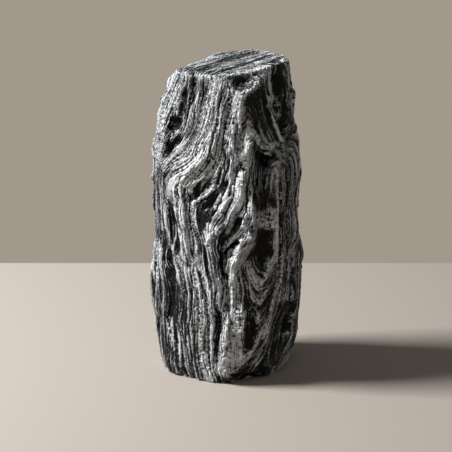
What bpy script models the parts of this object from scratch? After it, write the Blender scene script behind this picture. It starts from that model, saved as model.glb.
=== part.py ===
"""Gneiss monolith: one natural block of finely layered, folded gneiss, standing on a flat foot.

The block is lofted through its corner edges, broken off at the top, and then worked the way
the rock broke: flutes along its layers, beds where a face split along them, and the ribs,
furrows and steps of each side. Lengths are in millimetres until the mesh is written, +Z is
up, and the stone's face is at -Y.
"""
import math

import bmesh
import bpy
import numpy as np
from mathutils import Vector, noise
from mathutils.bvhtree import BVHTree

MM = 0.001

# Driving dimensions, in millimetres
TOP_AT_CENTRE = 296.2      # height of the broken top above the foot, on the axis
TOP_SLOPE = 0.083          # the top rises towards the back
GRID = 2.1                 # spacing of the worked surface
FACES = 9400               # triangles left on the finished stone
EVEN_PASSES = 4            # times that outward directions are averaged with their neighbours
FOOT_CUT = 0.6             # thickness sawn off underneath, for a flat foot

# The thirteen corner edges that the block is lofted through, anticlockwise from the left as
# seen from above. Each runs from the foot to above the top, as (height, x, y).
CORNERS = {
    "left": [
        (0, -66, 0), (12, -70, 0), (42, -74, 2), (66, -76, 4), (88, -77, 5), (110, -72, 5),
        (128, -67, 6), (150, -69, 6), (180, -74, 6), (215, -73, 5), (228, -70, 4), (250, -68, 3),
        (262, -65, 2), (270, -61, 0), (284, -56, -4), (296, -46, -11), (310, -42, -13),
    ],
    "left front": [
        (0, -58, -29), (12, -61, -30), (60, -65, -28), (100, -64, -26), (150, -60, -24),
        (200, -61, -22), (250, -58, -20), (285, -51, -18), (310, -45, -18),
    ],
    "front left": [
        (0, -46, -40), (12, -48, -42), (60, -49, -43), (100, -47, -41), (150, -45, -38),
        (200, -45, -35), (250, -41, -34), (294, -35, -33), (310, -33, -32),
    ],
    "front": [
        (0, -20, -54), (60, -20, -56), (100, -20, -53), (150, -20, -48), (200, -18, -46),
        (250, -12, -44), (292, -5, -43), (310, -2, -42),
    ],
    "beside the prow": [
        (0, -9, -58), (12, -9, -60), (60, -9, -59), (100, -8, -58), (150, 0, -54),
        (200, 4, -51), (250, 5, -48), (292, 6, -45), (310, 6, -44),
    ],
    "prow": [
        (0, -2, -57), (12, 0, -60), (60, 2, -60), (100, 2, -60), (122, 5, -59), (140, 14, -58),
        (160, 21, -56), (200, 21, -53), (235, 19, -50), (275, 15, -46), (310, 12, -43),
    ],
    "right of the prow": [
        (0, 36, -39), (12, 36, -43), (60, 34, -45), (100, 34, -43), (150, 41, -38),
        (200, 44, -32), (235, 45, -22), (270, 40, -13), (295, 38, -7), (310, 37, -4),
    ],
    "right front": [
        (0, 52, -19), (12, 56, -18), (60, 61, -17), (100, 63, -17), (150, 60, -17),
        (200, 59, -14), (235, 57, -6), (262, 57, 2), (293, 58, 12), (310, 58, 18),
    ],
    "right": [
        (0, 58, 7), (9, 62, 8), (32, 69, 9), (52, 70, 10), (83, 72, 10), (107, 74, 10),
        (131, 68, 10), (155, 68, 12), (190, 71, 13), (225, 66, 15), (240, 63, 18),
        (260, 62, 20), (272, 59, 21), (310, 55, 25),
    ],
    "right back": [
        (0, 54, 40), (60, 58, 45), (110, 60, 47), (190, 58, 47), (250, 55, 43), (310, 46, 36),
    ],
    "back right": [
        (0, 20, 56), (60, 22, 60), (110, 24, 61), (200, 26, 60), (250, 28, 57), (310, 27, 52),
    ],
    "back left": [
        (0, -25, 52), (60, -27, 57), (110, -26, 59), (200, -22, 55), (250, -17, 49),
        (310, -13, 41),
    ],
    "left back": [
        (0, -53, 32), (60, -60, 36), (110, -60, 38), (200, -55, 33), (250, -45, 27),
        (296, -24, 19), (310, -20, 17),
    ],
}


# The slab that parted from the top above the prow: it left a leaning wall along the layers
# and a ledge sloping down to the prow. These are its underside, and its outline above the top.
SLAB_UNDERSIDE = [
    (-2, -49.5, 279), (38, -7, 295.3), (56, -16, 285.7), (50, -70, 254.6), (-2, -70, 266.5),
]
SLAB_ABOVE = [(-22, -49.5, 330), (38, -7, 330), (56, -16, 330), (50, -70, 330), (-22, -70, 330)]

# Layers are numbered in millimetres across them, from the one at the rim of the top where
# x, y is LAYER_ZERO. They stand upright and cross the top at about 37 degrees from X.
FAR_OUT = 500.0            # well outside the stone
LAYER_ZERO = (-6.0, -35.0)
LAYER_ACROSS = (0.6, -0.8)

# Where layers run on the face of the stone: layer number, then points (x, z) as seen from
# the front. They come down from the top, bend to the left, and turn down again at a hinge
# that steps lower from left to right.
FACE_LAYERS = [
    (-41, [(-45, 291), (-51, 278), (-58, 263), (-62, 248), (-65, 228)]),
    (-22, [(-33, 286), (-37, 272), (-40, 254), (-42, 244), (-47, 235), (-56, 223), (-62, 212)]),
    (-12, [(-21, 289), (-24, 273), (-26, 259), (-38, 231), (-48, 218), (-58, 207), (-63, 197)]),
    (-4, [(-11, 289), (-18, 256), (-30, 229), (-51, 203), (-60, 190), (-60, 170), (-56, 114),
          (-50, 58), (-47, 8)]),
    (0, [(-6, 288), (-12, 260), (-19, 233), (-27, 214), (-36, 203), (-47, 190), (-46, 174),
         (-44, 146), (-39, 118), (-37, 85), (-35, 9)]),
    (6, [(1, 279), (-5, 256), (-10, 229), (-20, 205), (-29, 195), (-37, 184), (-34, 152),
         (-28, 115), (-22, 63), (-20, 7)]),
    (10, [(6, 275), (-1, 243), (-5, 215), (-12, 192), (-22, 174), (-27, 162), (-22, 139),
          (-16, 102), (-13, 64), (-11, 4)]),
    (15, [(13, 273), (8, 243), (4, 206), (1, 183), (-8, 164), (-18, 147), (-12, 122), (-8, 94),
          (-8, 55), (-7, 3)]),
    (20, [(18, 243), (15, 211), (12, 184), (4, 165), (-6, 141), (-9, 131), (-6, 108), (-4, 74),
          (-3, 35), (-2, 6)]),
    (24, [(21, 166), (15, 142), (3, 129), (-1, 123), (0, 104), (2, 75), (1, 35), (1, 10)]),
]

# Right of the prow and below the lip they close in a tight upright fold, open at the top.
FOLD_LAYERS = [
    (24, [(23, 224), (22, 188)]),
    (27, [(28, 220), (28, 178), (25, 152), (18, 135), (8, 125), (6, 117), (7, 94), (9, 64),
          (8, 34), (5, 16)]),
    (30, [(15, 82), (15, 53), (19, 35), (29, 65), (36, 83), (45, 105), (54, 132), (56, 170)]),
    (32, [(19, 101), (27, 82), (38, 92)]),
    (34, [(32, 218), (30, 186), (28, 154), (22, 138), (18, 125), (30, 97), (47, 113), (51, 133),
          (53, 171), (52, 205)]),
    (38, [(42, 202), (38, 175), (32, 143), (31, 117), (40, 126)]),
    (25, [(24, 18), (33, 33), (41, 56), (50, 84), (56, 112), (59, 169)]),
    (20, [(47, 28), (56, 61), (61, 101), (63, 166)]),
    (13, [(55, 7), (64, 46), (67, 97), (66, 163)]),
]

# Above the lip they run straight down from the top, along the corner edges: the number of the
# layer that each of these edges follows.
ABOVE_LIP = {"prow": 19.0, "right of the prow": 5.0, "right front": 0.0}
ABOVE_HEIGHTS = (230.0, 250.0, 270.0, 290.0)

# The lip that parts the two, as (x, height, height over which one passes into the other).
LIP = [
    (0, 250, 60), (21, 237, 4), (26, 243, 4), (32, 226, 4), (40, 220, 4), (50, 214, 20),
    (62, 225, 80),
]

# Where layers cross the broken top: layer number, then points (x, y) from above.
TOP_LAYERS = [
    (0, [(-4, -33), (25, -10), (56, 13)]),
    (-4, [(-10, -31), (22, -5), (54, 20)]),
    (-12, [(-20, -28), (15, 2), (50, 31)]),
    (-22, [(-32, -23), (5, 12), (38, 42)]),
    (-41, [(-42, -6), (-12, 20), (10, 40)]),
]

# How far the same bend has carried the layers on the sides that face away: for each corner
# edge, the shift in millimetres below the hinge, and the hinge's height.
FAR_BENDS = {
    "left": (36.0, 205.0),
    "left back": (30.0, 225.0),
    "back left": (22.0, 245.0),
    "back right": (12.0, 262.0),
    "right back": (4.0, 275.0),
    "right": (0.0, 275.0),
}
FAR_HEIGHTS = (6.0, 50.0, 95.0, 140.0, 185.0, 230.0, 275.0)
BEND_DEPTH = 60.0          # height over which the layers bend, below the hinge

# Slats that split off between the layers to different depths, as (width across the layers,
# length along them, depth in or out) of each set.
SLATS = [(12.0, 90.0, 1.5), (6.5, 55.0, 1.2), (3.6, 30.0, 0.6)]
SLAT_EDGE = 0.3            # share of a slat's width over which it drops to the next
SLAT_PICK = 7.0            # spreads the slats' own places, so that each picks another depth
SLAT_SHIFT = 7.3           # keeps the slats of one set from lining up with another's

# Level faces, and faces that lie along the layers, lose that much of the slats' depth.
LEVEL_LOSS = 0.8
LEVEL_FROM = 0.55          # how squarely a face must look up or down to be level, and the
LEVEL_OVER = 0.3           # range over which it becomes so
ALONG_LOSS = 0.8
ALONG_FROM = 0.84          # the same for a face along the layers
ALONG_OVER = 0.12

# Where the back lies along the layers it breaks in beds, with steps between them.
BED = 5.5                  # thickness of a bed
BED_EDGE = 0.4             # share of that thickness taken by the step
BED_WARP = 3.5             # how far a bed waves, and over what length
BED_RUN = 45.0

# The forms of each side fade out where the surface turns away from that side.
SEEN_FROM = 0.1
SEEN_OVER = 0.4
STEP_EDGE = 3.0            # width over which a step drops
STEP_ENDS = 0.15           # share of a step's line over which it starts and ends
FORM_ENDS = 0.3            # the same for a rib or a furrow
END_WIDTH = 0.5            # share of its width and of its height left at a rib's very end
END_HEIGHT = 0.25
RAGGED = 1.6               # how far a form's outline wanders, and over what length
RAGGED_RUN = 9.0
RAGGED_SEED = 1795466975   # any number does, and another gives another wander

# Forms on each side of the stone, as seen from that side: (shape, width, height, points).
# A rib stands proud by its height and a furrow goes in by it. A step goes in on the right of
# its line as it is followed, and fades out over its width.
FACE_FORMS = [
    ("furrow", 5, 4.5, [(-31, 300), (-35, 272), (-39, 257), (-42, 238)]),
    ("furrow", 8, 5.5, [(-51, 252), (-51, 236)]),
    ("furrow", 6, 6.5, [(-43, 236), (-55, 222), (-65, 208)]),
    ("rib", 6, 2.0, [(-57, 261), (-62, 244), (-65, 224)]),
    ("rib", 8, 5.0, [(-18, 226), (-27, 212), (-37, 202), (-46, 191)]),
    ("furrow", 7, 5.0, [(-14, 200), (-25, 189), (-34, 180), (-38, 171)]),
    ("furrow", 5, 2.5, [(-11, 182), (-20, 172), (-27, 165)]),
    ("furrow", 5, 4.0, [(-54, 168), (-52, 142), (-47, 118)]),
    ("furrow", 6, 4.5, [(-61, 140), (-57, 104), (-56, 75), (-62, 38)]),
    ("rib", 6, 3.0, [(-46, 186), (-43, 160), (-40, 128), (-37, 90)]),
    ("rib", 12, 3.0, [(0, 176), (-11, 154), (-18, 142)]),
    ("furrow", 9, 8.0, [(12, 154), (1, 132), (-4, 120), (-2, 99), (0, 78), (2, 50)]),
    ("step", 15, 7.0, [(-5, 60), (-8, 98), (-12, 118), (-9, 136), (-1, 152), (7, 176)]),
    ("rib", 4.5, 5.5, [(20, 190), (21, 166), (16, 147), (8, 135), (-3, 124)]),
    ("furrow", 3, 4.0, [(24, 165), (19, 141), (10, 131), (2, 121), (-1, 99)]),
    ("rib", 5, 4.0, [(26, 158), (21, 138), (12, 125), (4, 116), (2, 94), (2, 52)]),
    ("furrow", 11, 3.5, [(32, 148), (32, 128), (31, 111)]),
    ("step", 42, 9.0, [(21, 237), (26, 243), (32, 226), (40, 220), (50, 214)]),
    ("rib", 3, 3.0, [(21, 240), (26, 245), (32, 229), (40, 223), (48, 217)]),
    ("furrow", 4, 4.0, [(42, 213), (38, 202), (32, 186)]),
    ("furrow", 9, 14.0, [(9, 0), (30, 0)]),
    ("furrow", 4, 3.0, [(-51, 0), (-45, 0)]),
    ("furrow", 4, 3.0, [(-38, 0), (-22, 0)]),
    ("step", 18, 6.0, [(50, 226), (45, 242), (40, 260), (41, 273), (39, 290)]),
    ("rib", 5, 5.0, [(46, 265), (47, 252), (48, 243)]),
    ("furrow", 8, 6.0, [(57, 60), (54, 46), (50, 34)]),
    ("furrow", 4, 3.0, [(60, 135), (60, 101), (58, 65)]),
    ("furrow", 7, 3.0, [(23, 78), (22, 46)]),
    ("furrow", 3.2, 3.2, [(15, 246), (14, 216), (11, 182)]),
    ("furrow", 3.2, 3.0, [(1, 234), (-2, 197), (-7, 178)]),
    ("rib", 3, 2.0, [(6, 240), (4, 206)]),
    ("rib", 8, 2.5, [(-1, 63), (-5, 40), (-3, 14)]),
    ("furrow", 3, 2.5, [(-10, 86), (-12, 44), (-10, 5)]),
    ("furrow", 3, 2.0, [(-27, 120), (-21, 63), (-19, 7)]),
]
RIGHT_FORMS = [
    ("furrow", 6, 3.5, [(10, 300), (16, 248), (26, 214), (24, 180)]),
    ("furrow", 5, 4.0, [(26, 268), (22, 220), (28, 180), (25, 146)]),
    ("furrow", 8, 6.0, [(14, 160), (20, 128), (17, 98)]),
    ("rib", 8, 3.0, [(34, 158), (33, 110), (38, 62)]),
    ("step", 26, 6.0, [(52, 100), (40, 90), (26, 96)]),
    ("furrow", 6, 4.0, [(27, 74), (22, 34), (26, -30)]),
]
LEFT_FORMS = [
    ("furrow", 6, 4.5, [(-6, 300), (-13, 240), (-9, 198)]),
    ("step", 26, 6.0, [(-48, 202), (-34, 216), (-18, 210)]),
    ("furrow", 8, 5.5, [(-26, 178), (-22, 136), (-28, 96)]),
    ("rib", 8, 3.5, [(-8, 186), (-10, 130), (-4, 76)]),
    ("furrow", 5, 4.0, [(8, 128), (6, 76), (11, 14)]),
    ("step", 24, 5.0, [(-44, 66), (-28, 78), (-12, 66)]),
]
BACK_FORMS = [
    ("step", 46, 6.5, [(-52, 232), (-30, 250), (-6, 240), (14, 252)]),
    ("furrow", 7, 5.0, [(14, 310), (10, 262), (22, 214)]),
    ("furrow", 7, 5.5, [(-32, 214), (-22, 168), (-26, 118)]),
    ("step", 22, 4.5, [(6, 212), (2, 176), (10, 136), (6, 96)]),
    ("furrow", 9, 6.0, [(28, 172), (32, 128), (25, 88)]),
    ("step", 40, 6.0, [(-54, 98), (-32, 88), (-10, 97), (14, 84), (44, 92)]),
    ("furrow", 6, 4.0, [(-37, 72), (-32, 30), (-39, -30)]),
    ("step", 16, 4.0, [(16, -6), (12, 34), (17, 72)]),
]


def corner_at(name, height):
    """Where one corner edge of the block is at one height, as (x, y)."""
    levels, xs, ys = zip(*CORNERS[name])
    return float(np.interp(height, levels, xs)), float(np.interp(height, levels, ys))


def loft_block():
    """The block before it broke: rings through the corner edges, closed at both ends."""
    heights = sorted({level for edge in CORNERS.values() for level, _, _ in edge})
    mesh = bmesh.new()
    rings = []
    for height in heights:
        ring = bmesh.ops.create_circle(mesh, segments=len(CORNERS), radius=1.0)["verts"]
        for vertex, name in zip(ring, CORNERS):
            vertex.co = (*corner_at(name, height), height)
        rings.append(ring)
    for lower, upper in zip(rings, rings[1:]):
        sides = [
            edge for ring in (lower, upper) for vertex in ring for edge in vertex.link_edges
            if edge.other_vert(vertex) in ring
        ]
        bmesh.ops.bridge_loops(mesh, edges=list(dict.fromkeys(sides)))
    bmesh.ops.holes_fill(mesh, edges=mesh.edges[:], sides=len(CORNERS))
    bmesh.ops.recalc_face_normals(mesh, faces=mesh.faces[:])
    return mesh


def cut_flat(mesh, point, outward):
    """Saw everything off beyond a plane, and close the cut."""
    everything = mesh.verts[:] + mesh.edges[:] + mesh.faces[:]
    cut = bmesh.ops.bisect_plane(
        mesh, geom=everything, dist=1e-6, plane_co=point, plane_no=outward, clear_outer=True)
    rim = [item for item in cut["geom_cut"] if isinstance(item, bmesh.types.BMEdge)]
    bmesh.ops.contextual_create(mesh, geom=rim)


def make_object(name, mesh):
    """A mesh object at the origin from a bmesh, which is used up."""
    data = bpy.data.meshes.new(name)
    mesh.to_mesh(data)
    mesh.free()
    made = bpy.data.objects.new(name, data)
    bpy.context.scene.collection.objects.link(made)
    return made


def apply_modifiers(made):
    """Replace an object's mesh by what its modifiers make of it."""
    bpy.context.view_layer.update()
    worked = bpy.data.meshes.new_from_object(
        made.evaluated_get(bpy.context.evaluated_depsgraph_get()))
    made.modifiers.clear()
    old = made.data
    made.data = worked
    bpy.data.meshes.remove(old)


def break_prow_slab(stone):
    """Take off the slab that parted above the prow, down to its wall and its ledge."""
    mesh = bmesh.new()
    for place in SLAB_UNDERSIDE + SLAB_ABOVE:
        bmesh.ops.create_vert(mesh, co=place)
    bmesh.ops.convex_hull(mesh, input=mesh.verts[:])
    bmesh.ops.recalc_face_normals(mesh, faces=mesh.faces[:])
    slab = make_object("prow slab", mesh)
    slab.hide_render = True
    slab.display_type = "WIRE"
    part = stone.modifiers.new("part the slab", "BOOLEAN")
    part.operation = "DIFFERENCE"
    part.object = slab
    apply_modifiers(stone)
    bpy.data.objects.remove(slab, do_unlink=True)


def read_surface(stone):
    """The places of a mesh's vertices and their outward directions, evened out round corners."""
    count = len(stone.data.vertices)
    places = np.empty(count * 3, dtype=np.float32)
    outward = np.empty(count * 3, dtype=np.float32)
    ends = np.empty(len(stone.data.edges) * 2, dtype=np.int32)
    stone.data.vertices.foreach_get("co", places)
    stone.data.vertices.foreach_get("normal", outward)
    stone.data.edges.foreach_get("vertices", ends)
    places = places.reshape(-1, 3).astype(float)
    outward = outward.reshape(-1, 3).astype(float)
    first, second = ends.reshape(-1, 2).T
    for _ in range(EVEN_PASSES):
        spread = outward.copy()
        np.add.at(spread, first, outward[second])
        np.add.at(spread, second, outward[first])
        outward = spread / np.linalg.norm(spread, axis=1)[:, None]
    return places, outward


def drawn_guides(stone, lines, outside, inward):
    """Guides (x, y, z, layer number) where drawn lines fall on the stone, as seen from one side."""
    surface = BVHTree.FromObject(stone, bpy.context.evaluated_depsgraph_get())
    guides = []
    for number, line in lines:
        for spot in line:
            place = surface.ray_cast(outside(*spot), inward)[0]
            if place:
                guides.append((*place, number))
    return guides


def far_guides():
    """Guides on the sides that face away, where the layers bend once and stand upright."""
    guides = []
    for name, (shift, hinge) in FAR_BENDS.items():
        for height in FAR_HEIGHTS:
            x, y = corner_at(name, height)
            across = LAYER_ACROSS[0] * (x - LAYER_ZERO[0]) + LAYER_ACROSS[1] * (y - LAYER_ZERO[1])
            bent = min(max((hinge - height) / BEND_DEPTH, 0.0), 1.0)
            guides.append((x, y, height, across + shift * bent))
    return guides


def through_guides(places, guides):
    """The layer number at each place: the smoothest field that passes through the guides."""
    guides = np.array(guides, dtype=float)
    known = guides[:, :3]
    apart = np.linalg.norm(known[:, None, :] - known[None, :, :], axis=2)
    flat = np.hstack([np.ones((len(known), 1)), known])
    system = np.block([[apart, flat], [flat.T, np.zeros((4, 4))]])
    weights = np.linalg.lstsq(system, np.append(guides[:, 3], np.zeros(4)), rcond=None)[0]
    found = weights[-4] + places @ weights[-3:]
    for place, weight in zip(known, weights):
        found += weight * np.linalg.norm(places - place, axis=1)
    return found


def layer_numbers(stone, places):
    """The layer number at each place, in the fold below the lip and straight above it."""
    front, above = Vector((0, 1, 0)), Vector((0, 0, -1))
    shared = drawn_guides(stone, FACE_LAYERS, lambda x, z: Vector((x, -FAR_OUT, z)), front)
    shared += drawn_guides(stone, TOP_LAYERS, lambda x, y: Vector((x, y, FAR_OUT)), above)
    shared += far_guides()
    fold = drawn_guides(stone, FOLD_LAYERS, lambda x, z: Vector((x, -FAR_OUT, z)), front)
    straight = [
        (*corner_at(name, height), height, number)
        for name, number in ABOVE_LIP.items() for height in ABOVE_HEIGHTS
    ]
    lip_x, lip_height, passing = zip(*LIP)
    height = np.interp(places[:, 0], lip_x, lip_height)
    over = np.interp(places[:, 0], lip_x, passing)
    share = smooth_step((places[:, 2] - height) / over + 0.5)
    below = through_guides(places, shared + fold)
    return below + share * (through_guides(places, shared + straight) - below)


def smooth_step(value):
    """0 below 0, 1 above 1, and a smooth rise between."""
    value = np.clip(value, 0.0, 1.0)
    return value * value * (3.0 - 2.0 * value)


def slat_height(spot, depth):
    """How far a slat stands at a spot in its own space, passing evenly into the next slat."""
    reaches, centres = noise.voronoi(spot)
    own = min(max((reaches[1] - reaches[0]) / SLAT_EDGE, 0.0), 1.0)
    share = 0.5 + 0.5 * own * own * (3.0 - 2.0 * own)
    levels = [noise.cell(centre * SLAT_PICK) for centre in centres[:2]]
    return depth * (share * levels[0] + (1.0 - share) * levels[1])


def slat_heights(places, layers):
    """The slats' height at each place, whose layer number is known."""
    height = np.zeros(len(places))
    for order, (across, along, depth) in enumerate(SLATS):
        spots = np.column_stack([
            layers / across + SLAT_SHIFT * order, places[:, 2] / along, places[:, 0] / (3.0 * along)])
        height += [slat_height(Vector(spot), depth) for spot in spots]
    return height


def along_layers(squarely):
    """1 where a surface lies along the layers, from how squarely it faces across them."""
    return smooth_step((squarely - ALONG_FROM) / ALONG_OVER)


def bed_heights(places, outward):
    """How far the back, where it split along the layers, lies from its nearest bed."""
    flat = along_layers(-outward @ np.array((*LAYER_ACROSS, 0.0)))
    warp = np.array([noise.noise(Vector(place) / BED_RUN) for place in places])
    beds = (places @ np.array((*LAYER_ACROSS, 0.0)) + BED_WARP * warp) / BED
    whole = np.floor(beds)
    parting = whole + smooth_step((beds - whole - 0.5) / BED_EDGE + 0.5)
    return flat * (beds - parting) * BED


def follow_line(spots, line):
    """How spots lie to a line: their distance, how far to its left, and the share along it."""
    runs = [math.dist(start, end) for start, end in zip(line, line[1:])]
    far = np.full(len(spots), np.inf)
    left = np.zeros(len(spots))
    along = np.zeros(len(spots))
    for index, (start, end) in enumerate(zip(line, line[1:])):
        run = runs[index]
        ahead = (np.array(end, dtype=float) - np.array(start, dtype=float)) / run
        went = np.clip((spots - start) @ ahead, 0.0, run)
        gap = spots - start - went[:, None] * ahead
        reach = np.linalg.norm(gap, axis=1)
        aside = ahead[0] * gap[:, 1] - ahead[1] * gap[:, 0]
        level = np.abs(reach - far) < 1e-6
        nearer = np.where(level, np.abs(aside) > np.abs(left), reach < far)
        far[nearer] = reach[nearer]
        left[nearer] = aside[nearer]
        along[nearer] = (sum(runs[:index]) + went[nearer]) / sum(runs)
    return far, left, along


def form_heights(places, outward, forms, across, facing):
    """The height that one side's forms give each place.

    `across` is the axis that runs to the right as that side is seen, with its sign, and
    `facing` is the way the side looks.
    """
    ragged = np.array([noise.noise_vector(Vector(place) / RAGGED_RUN) for place in places])
    worn = places + RAGGED * ragged
    spots = np.column_stack([worn[:, across[0]] * across[1], worn[:, 2]])
    seen = smooth_step((outward @ np.array(facing, dtype=float) - SEEN_FROM) / SEEN_OVER)
    height = np.zeros(len(places))
    for shape, width, rise, line in forms:
        far, left, along = follow_line(spots, line)
        if shape == "step":
            beside = (left < 0.0) * smooth_step(far / STEP_EDGE)
            ends = smooth_step(np.minimum(along, 1.0 - along) / STEP_ENDS)
            reach = np.maximum(width * ends, STEP_EDGE)
            height -= rise * ends * beside * (1.0 - smooth_step(far / reach))
        else:
            ends = smooth_step(np.minimum(along, 1.0 - along) / FORM_ENDS)
            reach = width * (END_WIDTH + (1.0 - END_WIDTH) * ends)
            swell = rise * (END_HEIGHT + (1.0 - END_HEIGHT) * ends)
            swell *= 1.0 - smooth_step(far / reach)
            height += swell if shape == "rib" else -swell
    return height * seen


def work_surface(stone):
    """Move the whole surface in and out, square to itself, to the stone's worked shape."""
    noise.seed_set(RAGGED_SEED)
    places, outward = read_surface(stone)
    layers = layer_numbers(stone, places)
    upright = 1.0 - LEVEL_LOSS * smooth_step((np.abs(outward[:, 2]) - LEVEL_FROM) / LEVEL_OVER)
    crossing = 1.0 - ALONG_LOSS * along_layers(np.abs(outward @ np.array((*LAYER_ACROSS, 0.0))))
    height = slat_heights(places, layers) * upright * crossing
    height += bed_heights(places, outward) * upright
    height += form_heights(places, outward, FACE_FORMS, (0, 1.0), (0, -1, 0))
    height += form_heights(places, outward, BACK_FORMS, (0, -1.0), (0, 1, 0))
    height += form_heights(places, outward, RIGHT_FORMS, (1, 1.0), (1, 0, 0))
    height += form_heights(places, outward, LEFT_FORMS, (1, -1.0), (-1, 0, 0))
    level = places + outward * height[:, None]
    level[:, 2] = np.maximum(level[:, 2], 0.0)
    stone.data.vertices.foreach_set("co", level.astype(np.float32).ravel())
    stone.data.update()


def finish_stone(stone):
    """Saw the foot flat, stand it at z = 0 with the stone's box centred on the axis."""
    mesh = bmesh.new()
    mesh.from_mesh(stone.data)
    cut_flat(mesh, (0, 0, FOOT_CUT), (0, 0, -1))
    bmesh.ops.triangulate(mesh, faces=mesh.faces[:])
    places = np.array([vertex.co for vertex in mesh.verts])
    middle = (places.min(axis=0) + places.max(axis=0)) / 2.0
    bmesh.ops.translate(mesh, verts=mesh.verts[:], vec=(-middle[0], -middle[1], -FOOT_CUT))
    bmesh.ops.scale(mesh, verts=mesh.verts[:], vec=(MM, MM, MM))
    mesh.to_mesh(stone.data)
    mesh.free()


def gneiss():
    """Dark, banded rock, as one plain material."""
    rock = bpy.data.materials.new("gneiss")
    rock.use_nodes = True
    shader = rock.node_tree.nodes["Principled BSDF"]
    shader.inputs["Base Color"].default_value = (0.13, 0.13, 0.128, 1.0)
    shader.inputs["Roughness"].default_value = 0.62
    shader.inputs["Metallic"].default_value = 0.0
    return rock


def main():
    for old in list(bpy.data.objects):
        bpy.data.objects.remove(old, do_unlink=True)
    block = loft_block()
    cut_flat(block, (0, 0, TOP_AT_CENTRE), (0, -TOP_SLOPE, 1))
    stone = make_object("gneiss_monolith", block)
    break_prow_slab(stone)
    grid = stone.modifiers.new("even grid", "REMESH")
    grid.mode = "VOXEL"
    grid.voxel_size = GRID
    apply_modifiers(stone)
    work_surface(stone)
    fewer = stone.modifiers.new("fewer faces", "DECIMATE")
    fewer.use_collapse_triangulate = True
    fewer.ratio = FACES / sum(len(face.vertices) - 2 for face in stone.data.polygons)
    apply_modifiers(stone)
    finish_stone(stone)
    stone.data.materials.clear()
    stone.data.materials.append(gneiss())


main()
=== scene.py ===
"""A standing block of folded gneiss on a pale table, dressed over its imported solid."""

import math

import bmesh
import bpy
import numpy as np
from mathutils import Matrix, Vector, noise
from mathutils.bvhtree import BVHTree


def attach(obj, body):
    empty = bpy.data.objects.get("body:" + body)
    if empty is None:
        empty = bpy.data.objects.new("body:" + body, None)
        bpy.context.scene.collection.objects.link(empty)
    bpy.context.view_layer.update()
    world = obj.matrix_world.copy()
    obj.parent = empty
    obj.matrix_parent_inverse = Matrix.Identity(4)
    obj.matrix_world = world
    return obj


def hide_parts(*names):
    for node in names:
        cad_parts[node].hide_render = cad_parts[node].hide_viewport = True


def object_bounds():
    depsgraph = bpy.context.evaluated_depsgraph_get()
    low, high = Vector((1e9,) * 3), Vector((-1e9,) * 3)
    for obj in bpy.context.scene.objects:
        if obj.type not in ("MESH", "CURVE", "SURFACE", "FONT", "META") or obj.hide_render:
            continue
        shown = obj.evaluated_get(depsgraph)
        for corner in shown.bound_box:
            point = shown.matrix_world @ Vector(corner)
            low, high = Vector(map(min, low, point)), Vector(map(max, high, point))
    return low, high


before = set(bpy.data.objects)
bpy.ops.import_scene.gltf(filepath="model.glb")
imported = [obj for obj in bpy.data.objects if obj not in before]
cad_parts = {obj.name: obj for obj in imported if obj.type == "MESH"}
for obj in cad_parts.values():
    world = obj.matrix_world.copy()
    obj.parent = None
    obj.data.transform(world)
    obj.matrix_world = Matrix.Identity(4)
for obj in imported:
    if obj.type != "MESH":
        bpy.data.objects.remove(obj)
solid_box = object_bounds()


# ---- The stone: its skin ----------------------------------------------------------------
# One block of gneiss, a rock of thin dark mica and light quartz layers. The skin is laid over
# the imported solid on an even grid, and its facets are taken off before it is worked.

MM = 0.001
SKIN_GRID = 0.86     # spacing of the skin before it is thinned
FACET_PASSES = 5                            # smoothing that takes off the solid's facets


def apply_modifiers(made):
    """Replace an object's mesh by what its modifiers make of it."""
    bpy.context.view_layer.update()
    worked = bpy.data.meshes.new_from_object(
        made.evaluated_get(bpy.context.evaluated_depsgraph_get()))
    made.modifiers.clear()
    made.data = worked


cad_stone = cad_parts["gneiss_monolith"]
skin = bmesh.new()
skin.from_mesh(cad_stone.data)
bmesh.ops.remove_doubles(skin, verts=skin.verts[:], dist=1e-6)
skin_mesh = bpy.data.meshes.new("stone")
skin.to_mesh(skin_mesh)
skin.free()
stone = bpy.data.objects.new("stone", skin_mesh)
bpy.context.scene.collection.objects.link(stone)

grid = stone.modifiers.new("even grid", "REMESH")
grid.mode = "VOXEL"
grid.voxel_size = SKIN_GRID * MM
facets = stone.modifiers.new("take off facets", "SMOOTH")
facets.factor = 0.5
facets.iterations = FACET_PASSES
apply_modifiers(stone)


# ---- The stone: its layers --------------------------------------------------------------
# The layers were folded before the rock set. They come down from the top, bend to the left
# and turn down again at a hinge, and right of the prow they close in a tight upright fold.

FRAME_FROM_LAYOUT = Vector((2.232, 1.118, -0.6))   # the layers were laid out before this shift
LAYER_ZERO = (-6.0, -35.0)                         # a spot on the layer numbered nought
LAYER_ACROSS = (0.6, -0.8)
FAR_OUT = 500.0

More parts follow.
